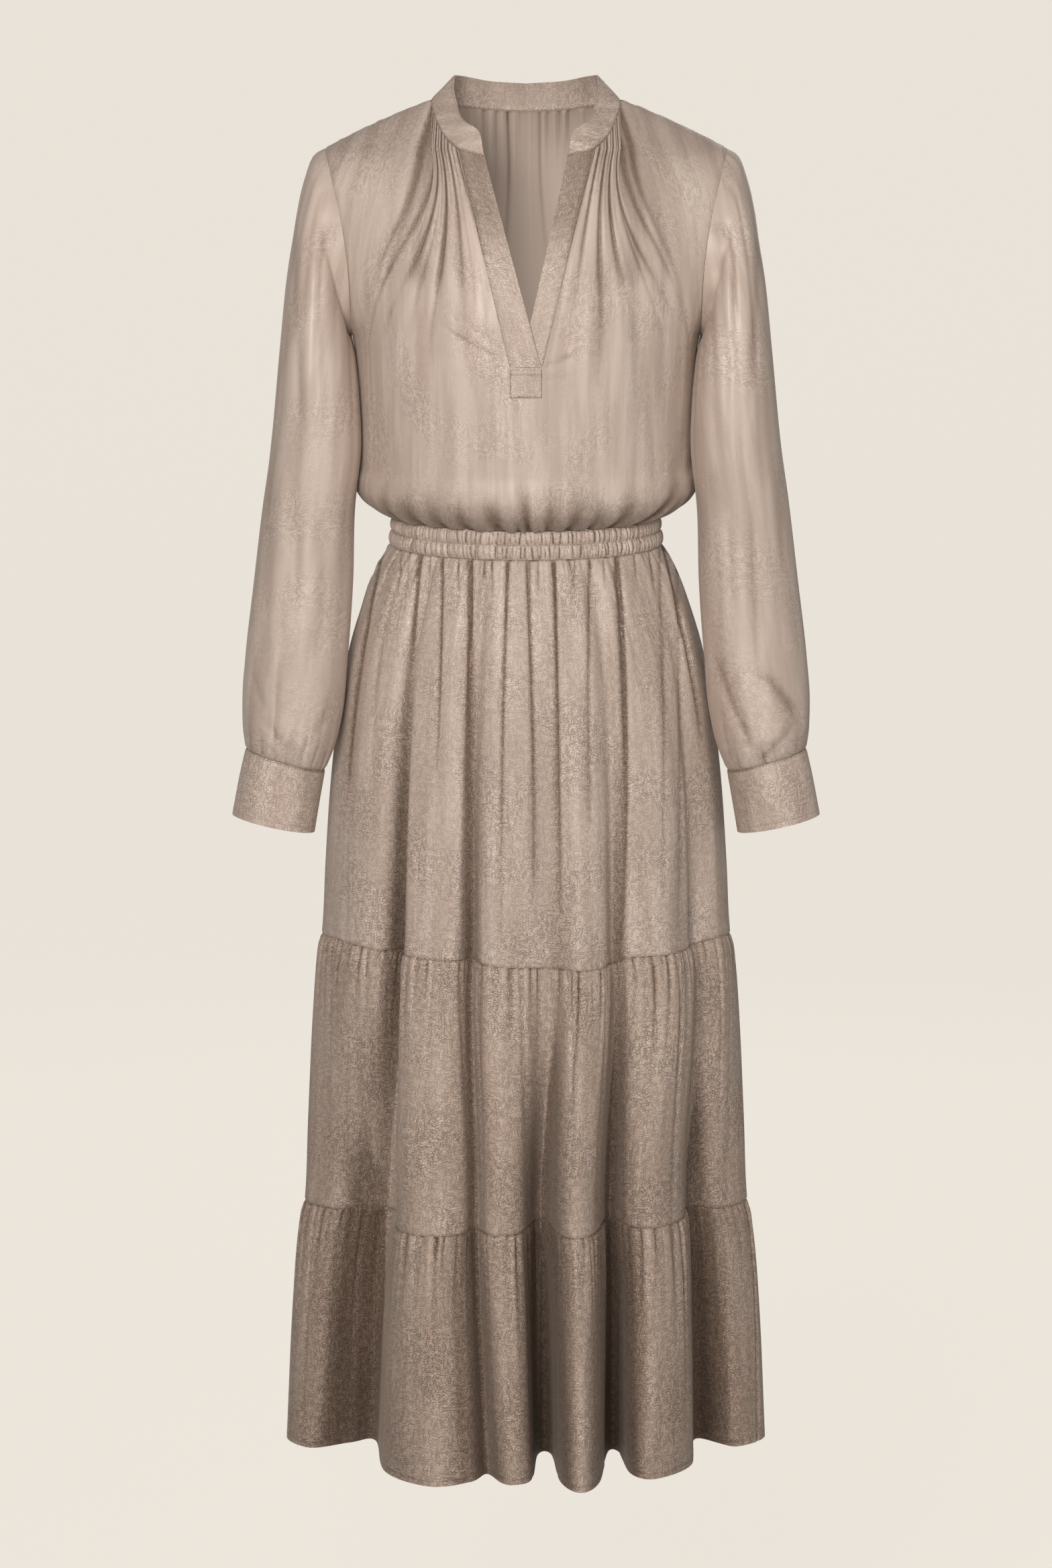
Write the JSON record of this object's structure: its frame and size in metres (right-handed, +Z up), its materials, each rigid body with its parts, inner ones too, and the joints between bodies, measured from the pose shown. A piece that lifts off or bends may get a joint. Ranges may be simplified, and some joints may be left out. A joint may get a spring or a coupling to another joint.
{
  "type": "tiered satin midi dress",
  "caption": "Long-sleeved tiered midi dress in hammered satin, with a stand collar, an open V neck and an elastic waist, filled out as if worn.",
  "frame": {"origin": "midway between the two neck points of the shoulder seams, where a wearer's shoulders hold the dress up", "axes": "+Z up along the dress, front towards -Y, the wearer's left towards +X"},
  "size_m": [0.5394, 0.364, 1.2712],
  "materials": {
    "satin": "taupe hammered satin, soft sheen"
  },
  "bodies": {
    "root": {"collar_band": "satin", "placket_right": "satin", "placket_left": "satin", "placket_tab": "satin", "front_bodice": "satin", "back_bodice": "satin", "waistband": "satin", "sleeve_left": "satin", "sleeve_right": "satin", "cuff_left": "satin", "cuff_right": "satin", "tier_1_front": "satin", "tier_1_back": "satin", "tier_2_front": "satin", "tier_2_back": "satin", "tier_3_front": "satin", "tier_3_back": "satin"}
  },
  "joints": []
}
